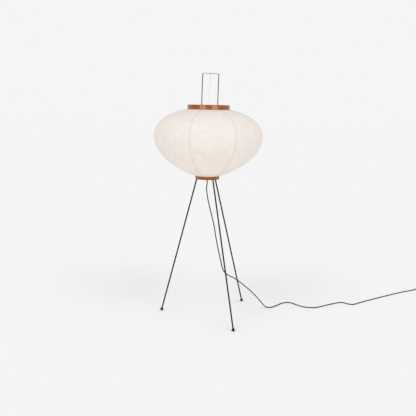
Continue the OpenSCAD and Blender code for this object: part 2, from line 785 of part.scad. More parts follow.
module switch_screws() {
    color([0.6, 0.6, 0.6]) put_away() for (at = screw_at) translate([switch_x, 0, 0]) translate(at) {
        cylinder(d = screw_head_d, h = screw_head_h);
        cylinder(d = screw_d, h = screw_head_h + screw_len);
    }
}

module grip(len, root) {
    rotate([0, 90, 0]) {
        cylinder(r1 = grip_tip_r, r2 = grip_r, h = len);
        translate([0, 0, len]) cylinder(r = grip_r - 1 - fit, h = root);
    }
}

module switch_grips() {
    color([0.06, 0.06, 0.06]) put_away() {
        translate([0, 0, split_z]) grip(grip_len, grip_root);
        translate([2 * grip_len + switch_len, 0, split_z]) mirror([1, 0, 0]) grip(grip_len, grip_root);
    }
}

// ---- Plug ----

module plug_body() {
    back_w = 14;
    bevel = 5;
    color([0.07, 0.07, 0.07]) put_away() translate([plug_x - plug_grip_len, plug_y, 0]) difference() {
        linear_extrude(plug_t) polygon([
            [0, -back_w / 2], [0, back_w / 2], [-plug_len * 0.45, plug_w / 2],
            [bevel - plug_len, plug_w / 2], [-plug_len, plug_w / 2 - bevel],
            [-plug_len, bevel - plug_w / 2], [bevel - plug_len, -plug_w / 2],
            [-plug_len * 0.45, -plug_w / 2]]);
        for (side = [-1, 1]) translate([-plug_len - cut, side * pin_gap / 2, plug_z]) rotate([0, 90, 0])
            cylinder(d = pin_d + fit, h = pin_root + cut);
    }
}

module plug_pins() {
    color([0.8, 0.68, 0.4]) put_away() for (side = [-1, 1])
        translate([plug_x - plug_grip_len - plug_len - pin_len, plug_y + side * pin_gap / 2, plug_z])
            rotate([0, 90, 0]) cylinder(d = pin_d, h = pin_len + pin_root);
}

module plug_grip() {
    color([0.06, 0.06, 0.06]) put_away() translate([plug_x, plug_y, plug_z]) rotate([0, -90, 0])
        cylinder(r1 = grip_tip_r, r2 = grip_r, h = plug_grip_len);
}

left_leg();
front_leg();
rear_leg();
left_foot();
front_foot();
rear_foot();
hub_plate();
wire_frame();
frame_nuts();
nipple();
nipple_nuts();
strain_relief();
holder_cap();
holder_shell();
holder_insert();
holder_thread();
holder_contact();
terminals();
holder_leads();
bulb_glass();
bulb_cap();
bulb_contact();
lower_outer_hoop();
lower_inner_hoop();
upper_outer_hoop();
upper_inner_hoop();
paper_shade();
bamboo_rib();
cross_wire();
hanger_thread();
bar_knot();
rim_knot();
cord_run();
cord_coil();
coil_tie();
switch_base();
switch_cover();
switch_button();
switch_block();
switch_screws();
switch_grips();
plug_body();
plug_pins();
plug_grip();
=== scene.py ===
"""Looks of the paper lantern floor lamp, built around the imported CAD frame. Metres, +Z up."""
from math import acos, cos, pi, radians, sin

import bpy
import numpy as np
from mathutils import Matrix, Vector


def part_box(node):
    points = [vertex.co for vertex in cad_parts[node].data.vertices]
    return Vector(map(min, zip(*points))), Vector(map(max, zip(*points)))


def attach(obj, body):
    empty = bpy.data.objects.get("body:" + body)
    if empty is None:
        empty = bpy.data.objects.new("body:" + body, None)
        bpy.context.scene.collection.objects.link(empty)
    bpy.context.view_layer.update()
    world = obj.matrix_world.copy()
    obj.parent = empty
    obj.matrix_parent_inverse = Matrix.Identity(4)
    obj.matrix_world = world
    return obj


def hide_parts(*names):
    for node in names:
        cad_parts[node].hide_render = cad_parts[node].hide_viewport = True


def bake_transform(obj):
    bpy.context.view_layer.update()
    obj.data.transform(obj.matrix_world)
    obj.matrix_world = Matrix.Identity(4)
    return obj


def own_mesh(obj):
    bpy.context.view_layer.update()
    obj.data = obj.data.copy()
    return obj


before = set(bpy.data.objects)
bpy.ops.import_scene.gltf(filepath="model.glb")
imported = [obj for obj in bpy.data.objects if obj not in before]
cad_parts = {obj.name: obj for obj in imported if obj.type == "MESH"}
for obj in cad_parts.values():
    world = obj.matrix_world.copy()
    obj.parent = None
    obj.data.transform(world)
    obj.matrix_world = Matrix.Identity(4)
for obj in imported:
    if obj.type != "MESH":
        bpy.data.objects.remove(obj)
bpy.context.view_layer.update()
MM = 0.001


def in_scene(name, data):
    obj = bpy.data.objects.new(name, data)
    bpy.context.scene.collection.objects.link(obj)
    return obj


# ---------------------------------------------------------------- camera, fitted to the photo
IMAGE_SIDE = 416
FOCAL_PIXELS = 620
SENSOR_WIDTH = 36
CAMERA_AT = (0.0078, -3.0275, 1.0725)
PAN_DEG, DOWN_DEG, ROLL_DEG = 0.024, 9.874, 1.146

camera_data = bpy.data.cameras.new("camera")
camera_data.sensor_width = SENSOR_WIDTH
camera_data.lens = FOCAL_PIXELS * SENSOR_WIDTH / IMAGE_SIDE
camera = in_scene("camera", camera_data)
camera.matrix_world = (
    Matrix.Translation(CAMERA_AT)
    @ Matrix.Rotation(radians(PAN_DEG), 4, "Z")
    @ Matrix.Rotation(radians(90 - DOWN_DEG), 4, "X")
    @ Matrix.Rotation(radians(ROLL_DEG), 4, "Z"))
bpy.context.scene.camera = camera


# ---------------------------------------------------------------- node trees
class Tree:
    """A node tree under construction. Calls add nodes and give back their output."""

    def __init__(self, node_tree):
        self.nodes, self.links = node_tree.nodes, node_tree.links

    def wire(self, value, socket):
        if isinstance(value, (int, float, tuple)):
            socket.default_value = value
        else:
            self.links.new(value, socket)

    def add(self, kind, inputs=(), **props):
        node = self.nodes.new(kind)
        for key, value in props.items():
            setattr(node, key, value)
        for key, value in dict(inputs).items():
            self.wire(value, node.inputs[key])
        return node

    def math(self, operation, a, b=0.0, c=0.0, clamp=False):
        node = self.add("ShaderNodeMath", {0: a, 1: b, 2: c}, operation=operation, use_clamp=clamp)
        return node.outputs[0]

    def shown(self):
        """1 for rays from the camera, off glossy surfaces and through clear ones, else 0."""
        ray = self.add("ShaderNodeLightPath").outputs
        direct = self.math("MAXIMUM", ray["Is Camera Ray"], ray["Is Glossy Ray"])
        return self.math("MAXIMUM", direct, ray["Is Transmission Ray"])


class Paint(Tree):
    """A Principled material under construction."""

    def __init__(self, name, colour, roughness=0.5, metallic=0.0, **fixed):
        self.material = bpy.data.materials.new(name)
        self.material.use_nodes = True
        super().__init__(self.material.node_tree)
        self.shader = self.nodes["Principled BSDF"]
        self.set("Base Color", (*colour, 1))
        self.set("Roughness", roughness)
        self.set("Metallic", metallic)
        for key, value in fixed.items():
            self.set(key.replace("_", " "), value)
        self.place = self.add("ShaderNodeTexCoord").outputs["Object"]

    def set(self, socket, value):
        self.shader.inputs[socket].default_value = value

    def ramp(self, value, low, high, to_low=0.0, to_high=1.0):
        node = self.add("ShaderNodeMapRange", {
            "Value": value, "From Min": low, "From Max": high, "To Min": to_low, "To Max": to_high},
            interpolation_type="SMOOTHSTEP")
        return node.outputs[0]

    def noise(self, scale, detail=3.0, where=None, rough=0.5, warp=0.0):
        node = self.add("ShaderNodeTexNoise", {
            "Vector": where or self.place, "Scale": scale, "Detail": detail,
            "Roughness": rough, "Distortion": warp})
        return node.outputs["Fac"]

    def stretched(self, x, y, z):
        node = self.add("ShaderNodeMapping", {"Vector": self.place, "Scale": (x, y, z)})
        return node.outputs["Vector"]

    def mix(self, share, a, b):
        node = self.add("ShaderNodeMix", data_type="RGBA")
        self.wire(share, node.inputs[0])
        for value, socket in ((a, node.inputs[6]), (b, node.inputs[7])):
            self.wire((*value, 1) if isinstance(value, tuple) else value, socket)
        return node.outputs[2]

    def tinted(self, tone, mask, share, other):
        """A tone with a share of another one where the mask is 1."""
        return self.mix(self.math("MULTIPLY", mask, share), tone, other)

    def uneven(self, value, noise, amount, clamp=False):
        """A value varied by a noise about its middle."""
        off = self.math("SUBTRACT", noise, 0.5)
        return self.math("MULTIPLY_ADD", off, amount, value, clamp=clamp)

    def dimmed(self, value, mask, share):
        """A value made smaller by a share where the mask is 1."""
        return self.math("MULTIPLY", value, self.math("MULTIPLY_ADD", mask, -share, 1.0))

    def split(self):
        """The place's x, y and z."""
        return self.add("ShaderNodeSeparateXYZ", {0: self.place}).outputs

    def around(self):
        """Angle about the lamp's axis, distance from it, and height."""
        x, y, z = self.split()
        across = self.math("ADD", self.math("MULTIPLY", x, x), self.math("MULTIPLY", y, y))
        return self.math("ARCTAN2", y, x), self.math("SQRT", across), z

    def colour(self, value):
        self.links.new(value, self.shader.inputs["Base Color"])

    def roughness(self, value):
        self.links.new(value, self.shader.inputs["Roughness"])

    def bump(self, height, strength, distance=0.0003):
        node = self.add("ShaderNodeBump", {
            "Height": height, "Strength": strength, "Distance": distance})
        self.links.new(node.outputs["Normal"], self.shader.inputs["Normal"])

    def glow(self, light, level, strength):
        """Light of a colour, scaled by a level that varies and a strength that doesn't."""
        lit = self.add("ShaderNodeVectorMath", {0: light, "Scale": level}, operation="SCALE")
        self.links.new(lit.outputs[0], self.shader.inputs["Emission Color"])
        self.set("Emission Strength", strength)


# ---------------------------------------------------------------- materials
def plain(name, colour, other, roughness, scale=60.0, grain=900.0, bump=0.1, **fixed):
    """A worked finish: two tones mixed by a soft noise, uneven roughness and a fine grain."""
    p = Paint(name, colour, roughness, **fixed)
    cloud = p.noise(scale, 4.0)
    p.colour(p.mix(p.ramp(cloud, 0.35, 0.65), colour, other))
    fine = p.noise(grain, 2.0)
    p.roughness(p.uneven(p.uneven(roughness, cloud, 0.35), fine, 0.12, clamp=True))
    p.bump(fine, bump)
    return p.material


def brushed(name, colour, other, roughness, axis_scale):
    """Drawn or turned metal: streaks along one direction."""
    p = Paint(name, colour, roughness, metallic=1.0)
    streak = p.noise(1.0, 5.0, p.stretched(*axis_scale))
    p.colour(p.mix(p.ramp(streak, 0.3, 0.7), colour, other))
    p.roughness(p.uneven(roughness, streak, 0.3, clamp=True))
    p.bump(streak, 0.15, 0.0001)
    return p.material


BAR_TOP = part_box("wire_frame")[1].z
# Below the bar's top: where the painted reflection of the bulb's light on the bar starts and where
# it is full
GLINT_FROM, GLINT_TO = 0.006, 0.001


def frame_wire(name):
    """Blackened steel wire, with a painted brassy reflection of the bulb's warm light along the bar
    that the thread is tied to.
    """
    p = Paint(name, (0.02, 0.02, 0.022), 0.38, Specular_IOR_Level=0.2)
    _, _, height = p.split()
    streak = p.noise(1.0, 5.0, p.stretched(500, 500, 60))
    bar = p.noise(1.0, 4.0, p.stretched(60, 500, 500))
    # Painted reflection: the bar is shown brassy in patches, standing in for the bulb's warm light
    # from below, not for wear
    glint_band = p.ramp(height, BAR_TOP - GLINT_FROM, BAR_TOP - GLINT_TO)
    painted_glint = p.math("MULTIPLY", glint_band, p.ramp(bar, 0.25, 0.5, 0.55, 1.0))
    steel = p.mix(p.ramp(streak, 0.3, 0.7), (0.009, 0.009, 0.011), (0.018, 0.018, 0.020))
    # Where the painted reflection lies, the wire is shown brassy and metallic
    p.colour(p.mix(painted_glint, steel, (0.78, 0.60, 0.33)))
    p.links.new(p.math("MULTIPLY", painted_glint, 0.85), p.shader.inputs["Metallic"])
    p.roughness(p.math("MULTIPLY_ADD", streak, 0.2, 0.3))
    p.bump(streak, 0.15, 0.0001)
    return p.material


GRAIN_R = 0.08


def wood(name):
    """Stained and varnished bent wood: grain runs round the hoop, with paler flecks and pores."""
    p = Paint(name, (0.3, 0.07, 0.01), 0.3, Specular_IOR_Level=0.45,
              Specular_Tint=(1.0, 0.74, 0.48, 1.0), Coat_Weight=0.25, Coat_Roughness=0.12)
    angle, radius, height = p.around()
    along_hoop = p.math("MULTIPLY", angle, GRAIN_R)

    def grain(along_scale, height_scale, depth_scale, detail, rough, warp=0.0):
        at = p.add("ShaderNodeCombineXYZ", {
            0: p.math("MULTIPLY", along_hoop, along_scale),
            1: p.math("MULTIPLY", height, height_scale),
            2: p.math("MULTIPLY", radius, depth_scale)}).outputs[0]
        return p.noise(1.0, detail, at, rough, warp)

    broad = grain(18.0, 420.0, 300.0, 4.0, 0.6, 0.4)
    fine = grain(90.0, 2600.0, 900.0, 3.0, 0.55)
    patches = p.noise(14.0, 2.0)
    tone = p.mix(p.ramp(broad, 0.32, 0.68), (0.24, 0.042, 0.001), (0.39, 0.10, 0.004))
    tone = p.mix(p.ramp(patches, 0.5, 0.75, 0.0, 0.55), tone, (0.52, 0.20, 0.05))
    tone = p.mix(p.ramp(fine, 0.62, 0.72, 0.0, 0.5), tone, (0.09, 0.015, 0.004))
    p.colour(tone)
    p.roughness(p.math("MULTIPLY_ADD", broad, 0.10, 0.10))
    p.bump(fine, 0.1, 0.0001)
    return p.material


# The middle of the bulb, where the light comes from
BULB_R = 0.0325
BULB_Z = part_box("bulb_glass")[1].z - BULB_R
# The paper's gores: the front one is the widest; seams are counted from its left edge
GORES = 8
FRONT_SEAM = radians(-108.3)
FRONT_GORE = radians(47.3)
OTHER_GORE = (2 * pi - FRONT_GORE) / (GORES - 1)
# Half the width of the lapped seams, to their raised edge, to their full tone and to their end
LAP_EDGE, LAP_FULL, LAP_END = 0.0036, 0.0045, 0.0062
# How far the rib darkens the paper on either side, fully and at all
RIB_FULL, RIB_END = 0.0005, 0.0019
# How the lamp's light falls off on the paper, and between which heights it goes from warm to pale
LIGHT_REACH = 0.27
WARM_Z, PALE_Z = 0.78, 0.9


def lapped_seams(p, angle, radius):
    """Masks of the seams between the gores and of the seams' raised edges."""
    past = p.math("FLOORED_MODULO", p.math("SUBTRACT", angle, FRONT_SEAM), 2 * pi)
    in_front = p.math("MINIMUM", p.math("DIVIDE", past, FRONT_GORE), 1.0)
    beyond = p.math("MAXIMUM", p.math("SUBTRACT", past, FRONT_GORE), 0.0)
    turn = p.math("ADD", in_front, p.math("DIVIDE", beyond, OTHER_GORE))
    off_middle = p.math("ABSOLUTE", p.math("SUBTRACT", p.math("FRACT", turn), 0.5))
    off_seam = p.math("MULTIPLY", p.math("SUBTRACT", 0.5, off_middle), OTHER_GORE)
    from_seam = p.math("MULTIPLY", off_seam, radius)
    seam = p.ramp(from_seam, LAP_FULL, LAP_END, 1.0, 0.0)
    return seam, p.math("MULTIPLY", p.ramp(from_seam, LAP_EDGE, LAP_FULL), seam)


def long_fibres(p):
    """Thin crossing fibres, more of them in some places than in others."""
    fibre = 0.0
    for k, (a, b) in enumerate(((0.35, 1.0), (1.0, 0.3), (0.8, 0.8))):
        tilt = p.add("ShaderNodeMapping", {
            "Vector": p.place, "Rotation": (0.5 + k, 0.9 * k, 1.1 * k), "Scale": (a, b, 1.0)})
        swirl = p.add("ShaderNodeTexNoise", {"Vector": p.place, "Scale": 22.0 + 9 * k})
        warped = p.add("ShaderNodeVectorMath", {0: tilt.outputs[0], 1: swirl.outputs["Color"]},
                       operation="MULTIPLY_ADD")
        cells = p.add("ShaderNodeTexVoronoi", {
            "Vector": warped.outputs[0], "Scale": 46.0 + 17 * k}, feature="DISTANCE_TO_EDGE")
        line = p.ramp(cells.outputs["Distance"], 0.006, 0.02, 1.0, 0.0)
        fibre = p.math("MAXIMUM", fibre, line)
    return p.math("MULTIPLY", fibre, p.ramp(p.noise(16.0, 2.0), 0.42, 0.62))


def lamp_light(p, radius, height):
    """The light that reaches the paper: strongest beside the bulb. Its level and its colour."""
    rise = p.math("SUBTRACT", height, BULB_Z)
    away_squared = p.math("ADD", p.math("MULTIPLY", radius, radius), p.math("MULTIPLY", rise, rise))
    facing = p.math("DIVIDE", p.math("MULTIPLY", radius, LIGHT_REACH), away_squared)
    colour = p.mix(p.ramp(height, WARM_Z, PALE_Z), (1.0, 0.87, 0.77), (1.0, 0.97, 0.945))
    return p.ramp(facing, 0.3, 1.6, 0.125, 0.355), colour


def paper(name):
    """Hand-made paper lit from inside, with pulp clouds, fibres, rib shadows and lapped seams."""
    p = Paint(name, (0.62, 0.565, 0.515), 0.85, Specular_IOR_Level=0.2)
    angle, radius, height = p.around()
    seam, seam_edge = lapped_seams(p, angle, radius)
    from_rib = p.add("ShaderNodeAttribute", attribute_name="from_rib").outputs["Fac"]
    rib = p.ramp(from_rib, RIB_FULL, RIB_END, 1.0, 0.0)
    cloud = p.noise(34.0, 5.0, rough=0.62)
    pulp = p.noise(240.0, 4.0, rough=0.6)
    fibre = long_fibres(p)
    tone = p.mix(p.ramp(cloud, 0.3, 0.7), (0.61, 0.550, 0.498), (0.635, 0.580, 0.533))
    tone = p.tinted(tone, fibre, 0.3, (0.54, 0.48, 0.41))
    tone = p.tinted(tone, rib, 0.2, (0.50, 0.43, 0.37))
    tone = p.tinted(tone, seam, 0.18, (0.53, 0.47, 0.42))
    p.colour(tone)
    level, light = lamp_light(p, radius, height)
    for mask, share in ((seam, 0.18), (rib, 0.22), (fibre, 0.12)):
        level = p.dimmed(level, mask, share)
    p.glow(light, p.math("MULTIPLY", level, p.ramp(cloud, 0.2, 0.8, 0.94, 1.04)), 1.0)
    relief = p.math("MULTIPLY_ADD", pulp, 0.5, seam_edge)
    p.bump(p.math("MULTIPLY_ADD", fibre, 0.5, relief), 0.35, 0.0002)
    return p.material


def twisted(name, colour, other):
    """Twisted thread, fuzzy across and streaked along."""
    p = Paint(name, colour, 0.8, Sheen_Weight=0.2)
    fuzz = p.noise(1.0, 3.0, p.stretched(5200, 5200, 1600))
    p.colour(p.mix(p.ramp(fuzz, 0.35, 0.65), colour, other))
    p.bump(fuzz, 0.5, 0.00008)
    return p.material


def cane(name):
    """Split bamboo, streaked along the strip."""
    p = Paint(name, (0.6, 0.42, 0.22), 0.55)
    streak = p.noise(1.0, 4.0, p.stretched(90, 90, 2400))
    p.colour(p.mix(p.ramp(streak, 0.3, 0.7), (0.47, 0.31, 0.15), (0.70, 0.53, 0.31)))
    p.bump(streak, 0.3, 0.0001)
    return p.material


# The bulb's glass is dark at its neck and bright above it
NECK_Z, BRIGHT_Z = 0.785, 0.822
BULB_STRENGTH = 9.0


def opal_glass(name):
    """A lit opal bulb, warmer and dimmer at its neck."""
    p = Paint(name, (0.92, 0.90, 0.86), 0.22, Coat_Weight=0.6, Coat_Roughness=0.04)
    frost = p.noise(700.0, 2.0)
    _, _, height = p.split()
    body = p.ramp(height, NECK_Z, BRIGHT_Z, 0.25, 1.0)
    light = p.mix(body, (0.9, 0.62, 0.36), (1.0, 0.86, 0.66))
    level = p.math("MULTIPLY", body, p.math("MULTIPLY_ADD", frost, 0.06, 0.97))
    p.glow(light, level, BULB_STRENGTH)
    p.bump(frost, 0.03)
    return p.material


BLACK_STEEL = plain("black_steel", (0.005, 0.005, 0.007), (0.009, 0.009, 0.012), 0.42,
                    bump=0.12, Specular_IOR_Level=0.15)
DARK_WIRE = frame_wire("dark_wire")
ZINC = brushed("zinc_steel", (0.52, 0.53, 0.55), (0.66, 0.66, 0.67), 0.35, (300, 300, 900))
BRASS = brushed("brass", (0.72, 0.52, 0.22), (0.84, 0.66, 0.34), 0.3, (700, 700, 2000))
BRIGHT_WIRE = brushed("bright_wire", (0.38, 0.38, 0.38), (0.52, 0.52, 0.51), 0.3, (900, 60, 900))
BULB_CAP = brushed("bulb_cap", (0.74, 0.74, 0.73), (0.84, 0.84, 0.82), 0.28, (500, 500, 2500))
FOOT_RUBBER = plain("foot_rubber", (0.005, 0.005, 0.005), (0.009, 0.009, 0.009), 0.55,
                    grain=1400, bump=0.2, Specular_IOR_Level=0.15)
BLACK_PLASTIC = plain("black_plastic", (0.017, 0.017, 0.018), (0.022, 0.022, 0.023), 0.45,
                      grain=2600, bump=0.3)
SOFT_BLACK = plain("soft_black", (0.013, 0.013, 0.014), (0.019, 0.019, 0.019), 0.6,
                   grain=1800, bump=0.2)
CORD_BLACK = plain("cord_black", (0.005, 0.005, 0.006), (0.009, 0.009, 0.010), 0.5,
                   scale=25, grain=700, bump=0.08, Specular_IOR_Level=0.15)
CERAMIC = plain("white_ceramic", (0.80, 0.79, 0.74), (0.86, 0.85, 0.81), 0.18,
                grain=500, bump=0.04)
LEADS = plain("lead_covering", (0.20, 0.08, 0.03), (0.25, 0.11, 0.045), 0.4)
INSULATOR = plain("bulb_insulator", (0.012, 0.012, 0.018), (0.02, 0.02, 0.03), 0.12, bump=0.02)
SWITCH_PLASTIC = plain("switch_plastic", (0.66, 0.63, 0.55), (0.72, 0.69, 0.62), 0.4)
RIM_WOOD = wood("rim_wood")
PAPER = paper("paper")
BAMBOO = cane("bamboo")
THREAD = twisted("thread", (0.27, 0.25, 0.23), (0.37, 0.35, 0.32))
KNOT = twisted("knot_thread", (0.10, 0.085, 0.065), (0.17, 0.15, 0.12))
BULB_GLASS = opal_glass("bulb_glass")


# ---------------------------------------------------------------- mesh helpers
def piece(name, points, faces, material, body="lamp", slot=None, replaces=()):
    """A visual piece that rides a body and stands for CAD nodes."""
    mesh = bpy.data.meshes.new(name)
    mesh.from_pydata(np.asarray(points, float).tolist(), [], faces)
    mesh.validate()
    mesh.polygons.foreach_set("use_smooth", [True] * len(mesh.polygons))
    mesh.materials.append(material)
    obj = in_scene(name, mesh)
    if body:
        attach(obj, body)
    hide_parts(*replaces)
    return obj


def unit(v):
    return v / np.maximum(np.linalg.norm(v, axis=-1, keepdims=True), 1e-12)


def ring_faces(rings, sides, closed=False):
    """Quads between rings of points, each ring with the same number of sides."""
    made = []
    for i in range(rings if closed else rings - 1):
        a, b = i * sides, (i + 1) % rings * sides
        made += [(a + k, a + (k + 1) % sides, b + (k + 1) % sides, b + k) for k in range(sides)]
    return made


def normals_along(path):
    """Two normals at each point of a path, carried along without twist."""
    tangent = unit(np.gradient(path, axis=0))
    steep = abs(tangent[0][1]) >= 0.9
    n = np.array([1.0, 0.0, 0.0]) if steep else np.array([0.0, 1.0, 0.0])
    normal = []
    for t in tangent:
        n = unit(n - np.dot(n, t) * t)
        normal.append(n)
    normal = np.array(normal)
    return normal, np.cross(tangent, normal)


def tube(path, radius, sides):
    """Points and faces of a round tube with closed ends."""
    path = np.asarray(path, float)
    n, b = normals_along(path)
    a = 2 * pi * np.arange(sides) / sides
    round_it = np.cos(a)[None, :, None] * n[:, None] + np.sin(a)[None, :, None] * b[:, None]
    points = path[:, None] + radius * round_it
    last = (len(path) - 1) * sides
    ends = [tuple(range(sides))[::-1], tuple(range(last, last + sides))]
    return points.reshape(-1, 3), ring_faces(len(path), sides) + ends


def joined(parts):
    """Several (points, faces) as one."""
    points, faces, base = [], [], 0
    for p, f in parts:
        points.append(np.asarray(p, float))
        faces += [tuple(base + i for i in face) for face in f]
        base += len(p)
    return np.concatenate(points), faces


def turned(outline, sides):
    """An outline of (radius, height) turned about Z. It starts and ends on the axis."""
    rows = outline[1:-1]
    a = 2 * pi * np.arange(sides) / sides
    points = np.array([[r * cos(t), r * sin(t), z] for r, z in rows for t in a])
    low, high = len(points), len(points) + 1
    points = np.vstack([points, [[0, 0, outline[0][1]], [0, 0, outline[-1][1]]]])
    top = (len(rows) - 1) * sides
    faces = ring_faces(len(rows), sides)
    faces += [(low, (k + 1) % sides, k) for k in range(sides)]
    faces += [(high, top + k, top + (k + 1) % sides) for k in range(sides)]
    return points, faces


def moved(shape, matrix):
    points, faces = shape
    m = np.array(matrix)
    return points @ m[:3, :3].T + m[:3, 3], faces


JOIN_REACH = 1e-6
SHARP_ANGLE, EDGE_STEPS = radians(32), 3


def soften(obj, width):
    """Rounds the sharp edges of a CAD node, whose faces are first joined along their edges."""
    weld = obj.modifiers.new("joined_edges", "WELD")
    weld.merge_threshold = JOIN_REACH
    bevel = obj.modifiers.new("soft_edges", "BEVEL")
    bevel.width, bevel.segments = width, EDGE_STEPS
    bevel.limit_method, bevel.angle_limit = "ANGLE", SHARP_ANGLE
    bevel.harden_normals = True


def dress(name, material, width=0.0):
    """A CAD node that is shown gets its material and, where a width is given, soft edges."""
    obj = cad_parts[name]
    obj.data.materials.clear()
    obj.data.materials.append(material)
    if width:
        soften(obj, width)


# ---------------------------------------------------------------- cords
def spline(route, steps):
    """A smooth curve through points, the same one as in the CAD, with more steps to each point."""
    p = np.asarray(route, float)
    made = []
    for i in range(len(p) - 1):
        a, b, c, d = p[max(i - 1, 0)], p[i], p[i + 1], p[min(i + 2, len(p) - 1)]
        for u in np.arange(steps) / steps:
            made.append((2 * b + (c - a) * u + (2 * a - 5 * b + 4 * c - d) * u * u
                         + (3 * b - a - 3 * c + d) * u ** 3) / 2)
    made.append(p[-1])
    return np.array(made)


CORD_D = 0.005
CORD_R = CORD_D / 2
RELIEF_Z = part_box("strain_relief")[0].z
# The switch, the coil and the plug lie in a frame of their own, beyond the photo's edge
AWAY = Matrix.Translation((1.254, 0.489, 0)) @ Matrix.Rotation(radians(30), 4, "Z")
SWITCH_CORD_Z = 0.008


def away(x, y, z):
    return list(AWAY @ Vector((x, y, z)))


# The cord's way from the strain relief, down between the legs, past the front one and along the
# floor: the CAD's points, chosen along the cord in the photo, in mm
cord_mm = [
    (-2, -2, 638), (7, -14, 583), (23, -33, 524), (38, -56, 468), (48, -84, 415),
    (60, -118, 364), (74, -154, 310), (81, -170, 286), (93, -178, 267), (112, -168, 250),
    (137, -140, 231), (168, -98, 199), (205, -46, 157), (241, 8, 112), (275, 56, 65),
    (300, 84, 30), (321, 104, 6), (350, 106, 2.5), (381, 137, 2.5),
    (414, 176, 2.5), (444, 193, 2.5), (471, 181, 2.5), (497, 148, 2.5),
    (525, 123, 2.5), (561, 114, 2.5), (597, 122, 2.5), (664, 169, 2.5),
    (721, 204, 2.5), (751, 208, 2.5), (774, 186, 2.5), (799, 181, 2.5),
    (834, 207, 2.5), (881, 243, 2.5), (996, 326, 2.5), (1122, 413, 2.5), (1206, 461, 2.5)]
STRAIGHT_OUT = 0.015
BEFORE_SWITCH_Z = 0.007
ON_FLOOR_X = 0.33
ROUTE_STEPS = 8
run_route = ([[0, 0, RELIEF_Z], [0, 0, RELIEF_Z - STRAIGHT_OUT]]
             + [[c * MM for c in p] for p in cord_mm]
             + [away(-STRAIGHT_OUT, 0, BEFORE_SWITCH_Z), away(0, 0, SWITCH_CORD_Z)])
run_path = spline(run_route, ROUTE_STEPS)
on_floor = run_path[:, 0] > ON_FLOOR_X
run_path[on_floor, 2] = np.maximum(run_path[on_floor, 2], CORD_R)
cord_run = piece("mains_cord", *tube(run_path, CORD_R, sides=16), CORD_BLACK,
                 slot="cord_black", replaces=["cord_run"])

# The coil: two layers, the same turns as in the CAD
COIL_R, PITCH, TURNS_IN, TURNS_BACK = 0.034, 0.0056, 2.5, 0.5
COIL_TURNS = 2 * TURNS_IN + TURNS_BACK
COIL_OFF_FLOOR = 0.0007
COIL_LOW = CORD_R + COIL_OFF_FLOOR
SWITCH_L, GRIP_L, LEAD_L = 0.070, 0.020, 0.025
COIL_X = 2 * GRIP_L + SWITCH_L + LEAD_L
LEAD_LEVEL = 0.002
LEAD_STEPS, LOOP_STEPS = 12, 56
PLUG_T = 0.015


def smooth(u):
    u = min(1, max(0, u))
    return u * u * (3 - 2 * u)


def coil_radius(t):
    """Radius after t turns: inwards on the lower layer, over to the upper one, and out again."""
    inner = COIL_R - PITCH * TURNS_IN
    if t < TURNS_IN:
        return COIL_R - PITCH * t
    if t > TURNS_IN + TURNS_BACK:
        return inner + PITCH * (t - TURNS_IN - TURNS_BACK)
    u = (t - TURNS_IN) / TURNS_BACK
    return inner - PITCH * TURNS_BACK * (u - u * u)


def coil_point(t):
    a = radians(90 - 360 * t)
    z = COIL_LOW + PITCH * smooth((t - TURNS_IN) / TURNS_BACK)
    return away(COIL_X + coil_radius(t) * cos(a), -COIL_R + coil_radius(t) * sin(a), z)


def lead(s, y, far_z, near_z):
    """A straight end of the coil, which changes its height on the way, level at both ends."""
    z = far_z + (near_z - far_z) * smooth((s - CORD_D) / (LEAD_L - CORD_D - LEAD_LEVEL))
    return away(COIL_X - LEAD_L + s, y, z)


coil_path = np.array(
    [lead(LEAD_L * i / LEAD_STEPS, 0, SWITCH_CORD_Z, COIL_LOW) for i in range(LEAD_STEPS)]
    + [coil_point(i / LOOP_STEPS) for i in range(int(COIL_TURNS * LOOP_STEPS) + 1)]
    + [lead(LEAD_L * i / LEAD_STEPS, -2 * COIL_R, PLUG_T / 2, COIL_LOW + PITCH)
       for i in range(LEAD_STEPS - 1, -1, -1)])
cord_coil = piece("coiled_cord", *tube(coil_path, CORD_R, sides=12), CORD_BLACK,
                  slot="cord_black", replaces=["cord_coil"])

# ---------------------------------------------------------------- grips, switch, plug
GRIP_ROOT_R, GRIP_TIP_R, GRIP_EDGE = 0.005, 0.0035, 0.0004
GROOVE_D = 0.0006
# Radius and length of the part of a switch grip that is held inside the casing
GRIP_STEM = (0.0039, 0.005)
PLUG_GRIP_L = 0.025


def grip_shape(grip_len, ribs, stem=None):
    """A solid ribbed grip from its tip at z = 0 to its root, with a stem beyond it if asked for."""
    outline = [(0.0, 0.0), (GRIP_TIP_R - GRIP_EDGE, 0.0), (GRIP_TIP_R, GRIP_EDGE)]
    ribbed, first = grip_len * 0.70, grip_len * 0.10
    for i in range(ribs):
        at = first + ribbed * i / ribs
        r = GRIP_TIP_R + (GRIP_ROOT_R - GRIP_TIP_R) * (at / grip_len)
        w = ribbed / ribs * 0.45
        outline += [(r, at), (r - GROOVE_D, at + w * 0.3), (r - GROOVE_D, at + w * 0.9),
                    (r + 0.0001, at + w * 1.2)]
    outline += [(GRIP_ROOT_R, grip_len - 0.0005), (GRIP_ROOT_R - GRIP_EDGE, grip_len)]
    if stem:
        outline += [(stem[0], grip_len), (stem[0], grip_len + stem[1])]
    outline.append((0.0, outline[-1][1]))
    return turned(outline, sides=48)


def along_x(x, y, z, way):
    """From a shape along +Z at the origin to one along the put-away frame's X, tip first."""
    return AWAY @ Matrix.Translation((x, y, z)) @ Matrix.Rotation(radians(90 * way), 4, "Y")


def grip(name, shape, matrix, node):
    piece(name, *moved(shape, matrix), SOFT_BLACK, slot="soft_black", replaces=[node])


switch_grip = grip_shape(GRIP_L, 6, GRIP_STEM)
grip("switch_relief_in", switch_grip, along_x(0, 0, SWITCH_CORD_Z, 1), "switch_grips")
grip("switch_relief_out", switch_grip, along_x(2 * GRIP_L + SWITCH_L, 0, SWITCH_CORD_Z, -1),
     "switch_grips")
grip("plug_relief", grip_shape(PLUG_GRIP_L, 7),
     along_x(COIL_X - LEAD_L, -2 * COIL_R, PLUG_T / 2, -1), "plug_grip")

